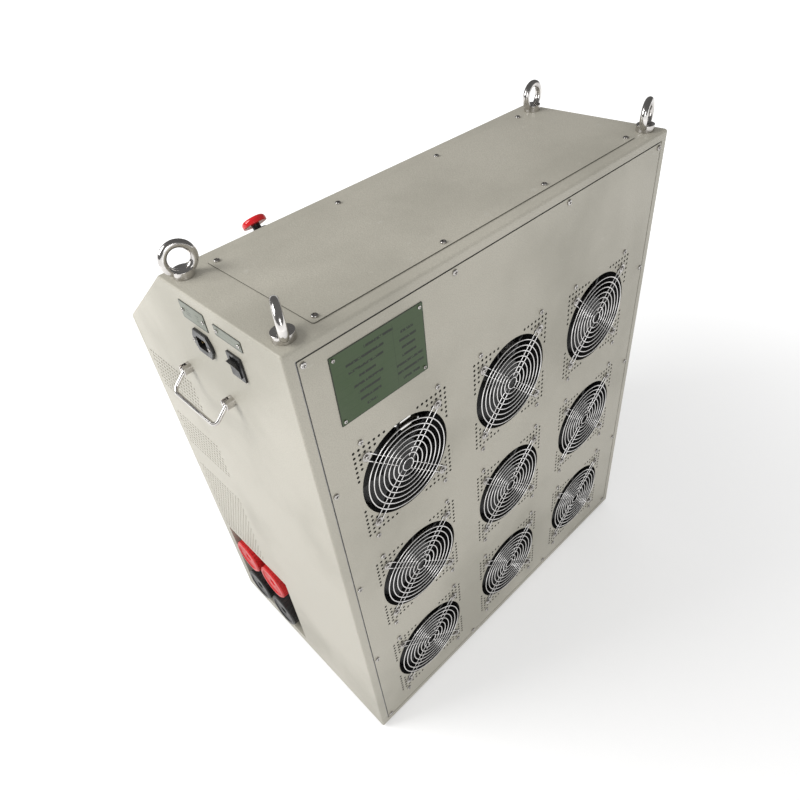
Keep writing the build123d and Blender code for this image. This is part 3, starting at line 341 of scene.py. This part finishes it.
NICKEL = finish_of(
    "nickel_screw", (grey(0.55, 0.03), grey(0.4, 0.05), grey(0.7), grey(0.25, 0.08)), (0.22, 0.38),
    1.0, grain=(700.0, 0.1, 0.05), wear=(120.0, 300.0, 0.0, 0.1),
)
RUBBER = finish_of(
    "foot_rubber", (grey(0.02), grey(0.03), grey(0.06), grey(0.1, 0.1)), (0.7, 0.85),
    grain=(600.0, 0.4, 0.1), wear=(30.0, 100.0, 0.0, 0.02),
)
ELEMENT = finish_of(
    "element_sheath",
    ((0.2, 0.17, 0.15, 1), (0.12, 0.1, 0.11, 1), (0.3, 0.26, 0.2, 1), (0.2, 0.18, 0.15, 1)),
    (0.35, 0.5), 0.9, grain=(300.0, 0.1, 0.1), wear=(18.0, 90.0, 0.0, 0.1),
)


def make_table_group():
    """Printed table on a flat plate: frame, ruled lines and short blank marks in each field."""
    names = ["Along", "Up", "Low A", "High A", "Low Z", "High Z", "Rows", "Split", "Border"]
    t, source, sink = new_group(
        "ruled_table", [(name, FLOAT, 0.0) for name in names], [("Frame", FLOAT), ("Ink", FLOAT)]
    )
    along, up, low_a, high_a, low_z, high_z, rows, split, border = source.outputs[:9]

    def band(value, low, high, soft=0.0002):
        rise = t.span(value, t.math("SUBTRACT", low, soft), t.math("ADD", low, soft))
        fall = t.span(value, t.math("ADD", high, soft), t.math("SUBTRACT", high, soft))
        return t.math("MULTIPLY", rise, fall)

    def inner(margin):
        across = band(along, t.math("ADD", low_a, margin), t.math("SUBTRACT", high_a, margin))
        upright = band(up, t.math("ADD", low_z, margin), t.math("SUBTRACT", high_z, margin))
        return t.math("MULTIPLY", across, upright)

    margin = t.math("MULTIPLY", border, 5.0)
    width = t.math("SUBTRACT", t.math("SUBTRACT", high_a, low_a), t.math("MULTIPLY", margin, 2.0))
    height = t.math("SUBTRACT", t.math("SUBTRACT", high_z, low_z), t.math("MULTIPLY", margin, 2.0))
    share = t.math("DIVIDE", t.math("SUBTRACT", t.math("SUBTRACT", along, low_a), margin), width)
    level = t.math("DIVIDE", t.math("SUBTRACT", t.math("SUBTRACT", up, low_z), margin), height)
    row = t.math("MULTIPLY", level, rows)
    part = t.math("FRACT", row)
    right = t.math("GREATER_THAN", share, split)
    cell = t.add("ShaderNodeCombineXYZ", X=right, Y=t.math("FLOOR", row), Z=rows)
    chance = t.add("ShaderNodeTexWhiteNoise", Vector=cell.outputs[0])
    middle = t.math("ADD", t.math("MULTIPLY", split, 0.5), t.math("MULTIPLY", right, 0.5))
    reach = t.span(chance.outputs[0], 0.0, 1.0, 0.06, 0.22)
    heading = t.math("GREATER_THAN", row, t.math("MAXIMUM", t.math("SUBTRACT", rows, 1.0), 5.0))
    middle = t.span(heading, 0.0, 1.0, middle, 0.5)
    reach = t.span(heading, 0.0, 1.0, reach, 0.17)
    near = t.math("LESS_THAN", t.math("ABSOLUTE", t.math("SUBTRACT", share, middle)), reach)
    dash = t.math("MULTIPLY", band(part, 0.3, 0.62, 0.08), near)
    speck = t.add("ShaderNodeTexNoise", Vector=t.object_place(), Scale=420.0, Detail=0.0)
    dash = t.math("MULTIPLY", dash, t.span(speck.outputs[0], 0.3, 0.4))
    column = band(share, t.math("SUBTRACT", split, 0.003), t.math("ADD", split, 0.003), 0.001)
    rules = t.math("MAXIMUM", band(part, -0.02, 0.03, 0.015), column)
    ink = t.math("MAXIMUM", dash, t.math("MULTIPLY", rules, 0.35))
    t.feed(sink.inputs["Ink"], t.math("MULTIPLY", ink, inner(margin)))
    t.feed(sink.inputs["Frame"], t.math("SUBTRACT", 1.0, inner(border)))
    return t.tree


TABLE = make_table_group()


def plate_finish():
    """Rating plate at the rear and two labels on the side, each with its own ruled table.

    A face looks along X or Y; that says which plate it is on, and Y tells the labels apart.
    """
    green = (0.04, 0.077, 0.024, 1)
    material = finish_of(
        "printed_plates",
        (green, (0.055, 0.088, 0.038, 1), (0.1, 0.14, 0.08, 1), (0.09, 0.11, 0.07, 1)),
        (0.3, 0.42), 0.2, grain=(900.0, 0.1, 0.05), wear=(14.0, 120.0, 0.0, 0.01),
    )
    t = Tree(material.node_tree)
    shader = material.node_tree.nodes["Principled BSDF"]
    place = t.add("ShaderNodeSeparateXYZ", Vector=t.object_place())
    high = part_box("rating_plates")[1]
    inlet_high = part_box("inlet_socket")[1]
    rocker_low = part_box("rocker_bezel")[0]
    between = (inlet_high[1] + rocker_low[1]) / 2
    side = t.math("GREATER_THAN", place.outputs[0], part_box("side_panel_right")[1][0] - 0.0005)
    rocker_side = t.math("MULTIPLY", side, t.math("GREATER_THAN", place.outputs[1], between))
    nameplate_start = high[0] - SIDE_LABEL - NAMEPLATE_EDGE - NAMEPLATE[0]
    tables = (
        (place.outputs[0], nameplate_start, NAMEPLATE, 8.0, 0.34, 0.0012),
        (place.outputs[1], INLET_LABEL_Y, INLET_LABEL, 3.0, 0.5, 0.0016),
        (place.outputs[1], ROCKER_LABEL_Y, ROCKER_LABEL, 2.0, 0.5, 0.0016),
    )
    inks, frames = [], []
    for along, start, (width, height, top), rows, split, border in tables:
        node = use_group(t, TABLE, Along=along, Up=place.outputs[2], Rows=rows, Split=split, Border=border)
        for name, value in (
            ("Low A", start), ("High A", start + width), ("Low Z", top - height), ("High Z", top)
        ):
            node.inputs[name].default_value = value
        inks.append(node.outputs["Ink"])
        frames.append(node.outputs["Frame"])

    def choose(values):
        chosen = t.mix(side, values[0], values[1])
        return t.mix(rocker_side, chosen, values[2])

    clean = shader.inputs["Base Color"].links[0].from_socket
    label = t.mix(0.75, clean, (0.2, 0.21, 0.17, 1))
    ground = t.mix(side, clean, label)
    dark = (0.012, 0.016, 0.01, 1)
    printed = t.mix(choose(inks), ground, dark)
    t.feed(shader.inputs["Base Color"], t.mix(t.math("MULTIPLY", choose(frames), 0.8), printed, dark))
    return material


# ---- surfaces from formulas ----
def grid_faces(rows, columns, wrap_rows):
    """Quads of a grid whose columns close on themselves; rows close if asked."""
    r = np.arange(rows if wrap_rows else rows - 1)
    c = np.arange(columns)
    a, b = np.meshgrid(r, c, indexing="ij")
    nr = (a + 1) % rows
    nb = (b + 1) % columns
    quads = np.stack([a * columns + b, nr * columns + b, nr * columns + nb, a * columns + nb], -1)
    return quads.reshape(-1, 4)


def torus(radius, wire, height, around=72, sides=10):
    """Ring in the local plane: (R + w cos v) about the axis, at height h + w sin v."""
    u = np.linspace(0, 2 * np.pi, around, endpoint=False)[:, None]
    v = np.linspace(0, 2 * np.pi, sides, endpoint=False)[None, :]
    reach = radius + wire * np.cos(v)
    points = np.stack(
        [reach * np.cos(u), reach * np.sin(u), height + wire * np.sin(v) + 0 * u], -1
    )
    return points.reshape(-1, 3), grid_faces(around, sides, True)


def tube(path, wire, sides=10):
    """Round wire along a level path: a circle across each tangent, with a flat end at each end.

    The number of sides is even, so that quads fill the ends.
    """
    step = np.gradient(path, axis=0)
    step /= np.linalg.norm(step, axis=1)[:, None]
    up = np.array([0.0, 0.0, 1.0])
    side = np.cross(step, up)
    v = np.linspace(0, 2 * np.pi, sides, endpoint=False)
    ring = side[:, None, :] * np.cos(v)[None, :, None] + up * np.sin(v)[None, :, None]
    points = (path[:, None, :] + wire * ring).reshape(-1, 3)
    k = np.arange(1, sides - 1, 2)
    first_end = np.stack([0 * k, k, k + 1, k + 2], -1)
    last_end = len(points) - 1 - first_end
    return points, np.concatenate([grid_faces(len(path), sides, False), first_end, last_end])


def hairpin(inner, reach, half_gap, height):
    """Two parallel runs joined by a half circle at the outer end."""
    run = np.linspace(inner, reach, 8)
    turn = np.linspace(-np.pi / 2, np.pi / 2, 17)[1:-1]
    x = np.concatenate([run, reach + half_gap * np.cos(turn), run[::-1]])
    y = np.concatenate([-half_gap + 0 * run, half_gap * np.sin(turn), half_gap + 0 * run])
    return np.stack([x, y, height + 0 * x], -1)


def turned(points, angle):
    """Points turned about the local axis."""
    c, s = math.cos(angle), math.sin(angle)
    return points @ np.array([[c, s, 0], [-s, c, 0], [0, 0, 1]])


def piece(name, surfaces, material, body):
    """One smooth object from several surfaces, riding on a body."""
    count = 0
    all_points, all_faces = [], []
    for points, faces in surfaces:
        all_points.append(points)
        all_faces += (faces + count).tolist()
        count += len(points)
    mesh = bpy.data.meshes.new(name)
    mesh.from_pydata(np.concatenate(all_points).tolist(), [], all_faces)
    mesh.polygons.foreach_set("use_smooth", np.ones(len(mesh.polygons), dtype=bool))
    mesh.materials.append(material)
    obj = bpy.data.objects.new(name, mesh)
    bpy.context.collection.objects.link(obj)
    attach(obj, body)
    return obj


def guard_surfaces():
    """Rings resting on hairpin legs, in local coordinates with the panel at 0."""
    ring_height = 3 * WIRE_RADIUS - WELD_DEPTH
    surfaces = [torus(radius, WIRE_RADIUS, ring_height) for radius in RING_RADII]
    inner = math.sqrt(RING_RADII[-1] ** 2 - LEG_HALF_GAP**2)
    path = hairpin(inner, LEG_REACH, LEG_HALF_GAP, WIRE_RADIUS)
    points, faces = tube(path, WIRE_RADIUS)
    for number in range(LEG_COUNT):
        angle = FIRST_LEG_ANGLE + 360.0 / LEG_COUNT * number
        surfaces.append((turned(points, math.radians(angle)), faces))
    return surfaces


def rear_place(points, x, y, z):
    """From a fan's local plane to the rear face: local x towards -X, local y up."""
    return np.stack([x - points[:, 0], y + points[:, 2], z + points[:, 1]], -1)


def finger_guards():
    """Nine round-wire guards in place of the plain ones."""
    local = guard_surfaces()
    placed = []
    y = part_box("rear_panel")[1][1]
    for number in range(1, FAN_COUNT + 1):
        low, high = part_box(f"fan_frame_{number}")
        x, z = (low[0] + high[0]) / 2, (low[2] + high[2]) / 2
        placed += [(rear_place(points, x, y, z), faces) for points, faces in local]
    guard = piece("finger_guard_wires", placed, CHROME, "cabinet")
    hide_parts("finger_guards")


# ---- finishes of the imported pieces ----
def dress(material, *names):
    """Gives nodes one material."""
    for name in names:
        mesh = NODES[name].data
        mesh.materials.clear()
        mesh.materials.append(material)


def numbered(stem, first, last):
    """Names stem_first to stem_last."""
    return [f"{stem}_{number}" for number in range(first, last + 1)]


dress(COAT, "base_pan", "side_panel_right", "side_panel_left", "front_panel", "console_panel")
dress(COAT, "top_panel", "terminal_box")
dress(TOP_PLATE, "top_cover")
dress(REAR_PLATE, "rear_panel")
dress(GALVANISED, "rear_frame", "resistor_rack")
dress(FAN_BLACK, *numbered("fan_frame", 1, FAN_COUNT))
dress(ROTOR_BLACK, *numbered("fan_rotor", 1, FAN_COUNT))
dress(TERMINAL_RED, *numbered("terminal_knob", 1, 2))
dress(TERMINAL_BLACK, *numbered("terminal_knob", 3, 4))
dress(BRASS, *numbered("terminal_washer", 1, 4), "terminal_studs", "inlet_pins")
dress(BOARD, "terminal_board")
dress(STAINLESS, "handle_bail_right", "handle_bail_left", "handle_posts", "eye_bolts")
dress(STOP_RED, "estop_head", "stop_button")
dress(GO_GREEN, "start_button")
dress(SWITCH_BLACK, "estop_stem", "estop_housing", "rocker_bezel", "rocker_key", "inlet_socket")
dress(SWITCH_BLACK, "power_meter")
dress(NICKEL, "panel_screws", "small_screws", "button_housings")
dress(RUBBER, "rubber_feet")
dress(plate_finish(), "rating_plates")
dress(ELEMENT, "resistor_tubes")
finger_guards()


# ---- stage ----
def floor():
    """Wide pale floor that reads as white to the camera and keeps the shadow."""
    mesh = bpy.data.meshes.new("floor")
    half = FLOOR_HALF
    corners = [(-half, -half, 0), (half, -half, 0), (half, half, 0), (-half, half, 0)]
    mesh.from_pydata(corners, [], [(0, 1, 2, 3)])
    obj = bpy.data.objects.new("floor", mesh)
    bpy.context.collection.objects.link(obj)
    material = bpy.data.materials.new("floor_paper")
    material.use_nodes = True
    t = Tree(material.node_tree)
    shader = material.node_tree.nodes["Principled BSDF"]
    shader.inputs["Base Color"].default_value = FLOOR_COLOUR
    shader.inputs["Roughness"].default_value = 0.9
    shader.inputs["Specular IOR Level"].default_value = 0.0
    rays = t.add("ShaderNodeLightPath")
    seen = t.math("MAXIMUM", rays.outputs["Is Camera Ray"], rays.outputs["Is Glossy Ray"])
    away = t.add("ShaderNodeVectorMath", {"operation": "LENGTH"}, Vector=t.object_place())
    glow = t.span(away.outputs["Value"], GLOW_START, GLOW_END, GLOW_NEAR, GLOW_FAR)
    shader.inputs["Emission Color"].default_value = WHITE
    t.feed(shader.inputs["Emission Strength"], t.math("MULTIPLY", seen, glow))
    mesh.materials.append(material)


def world():
    """Soft sky: white to the camera, dimmer as a lamp and dark to gloss."""
    sky = bpy.data.worlds.new("studio")
    bpy.context.scene.world = sky
    sky.use_nodes = True
    t = Tree(sky.node_tree)
    back = sky.node_tree.nodes["Background"]
    rays = t.add("ShaderNodeLightPath")
    level = t.span(rays.outputs["Is Glossy Ray"], 0.0, 1.0, SKY_LEVEL, SKY_GLOSS)
    t.feed(back.inputs["Strength"], t.math("MAXIMUM", rays.outputs["Is Camera Ray"], level))
    back.inputs["Color"].default_value = WHITE


def lamp(name, place, aim, size, power):
    """Square area lamp that faces a point."""
    data = bpy.data.lights.new(name, "AREA")
    data.size = size
    data.energy = power
    obj = bpy.data.objects.new(name, data)
    obj.location = place
    obj.rotation_euler = (Vector(aim) - Vector(place)).to_track_quat("-Z", "Y").to_euler()
    bpy.context.collection.objects.link(obj)


def camera():
    """Camera above the rear right corner, looking down."""
    data = bpy.data.cameras.new("camera")
    data.lens = CAMERA_LENS
    data.sensor_width = 36.0
    data.shift_x, data.shift_y = CAMERA_SHIFT
    obj = bpy.data.objects.new("camera", data)
    obj.location = CAMERA_PLACE
    obj.rotation_euler = [math.radians(angle) for angle in CAMERA_TURN]
    bpy.context.collection.objects.link(obj)
    bpy.context.scene.camera = obj


floor()
world()
lamp("key", (1.9, -1.1, 2.2), (0.4, -0.2, 0.8), 1.4, 46.0)
lamp("rear", (1.3, 2.6, 1.7), (0.1, 0.25, 0.6), 1.4, 21.0)
camera()
bpy.context.scene.view_settings.view_transform = "Standard"
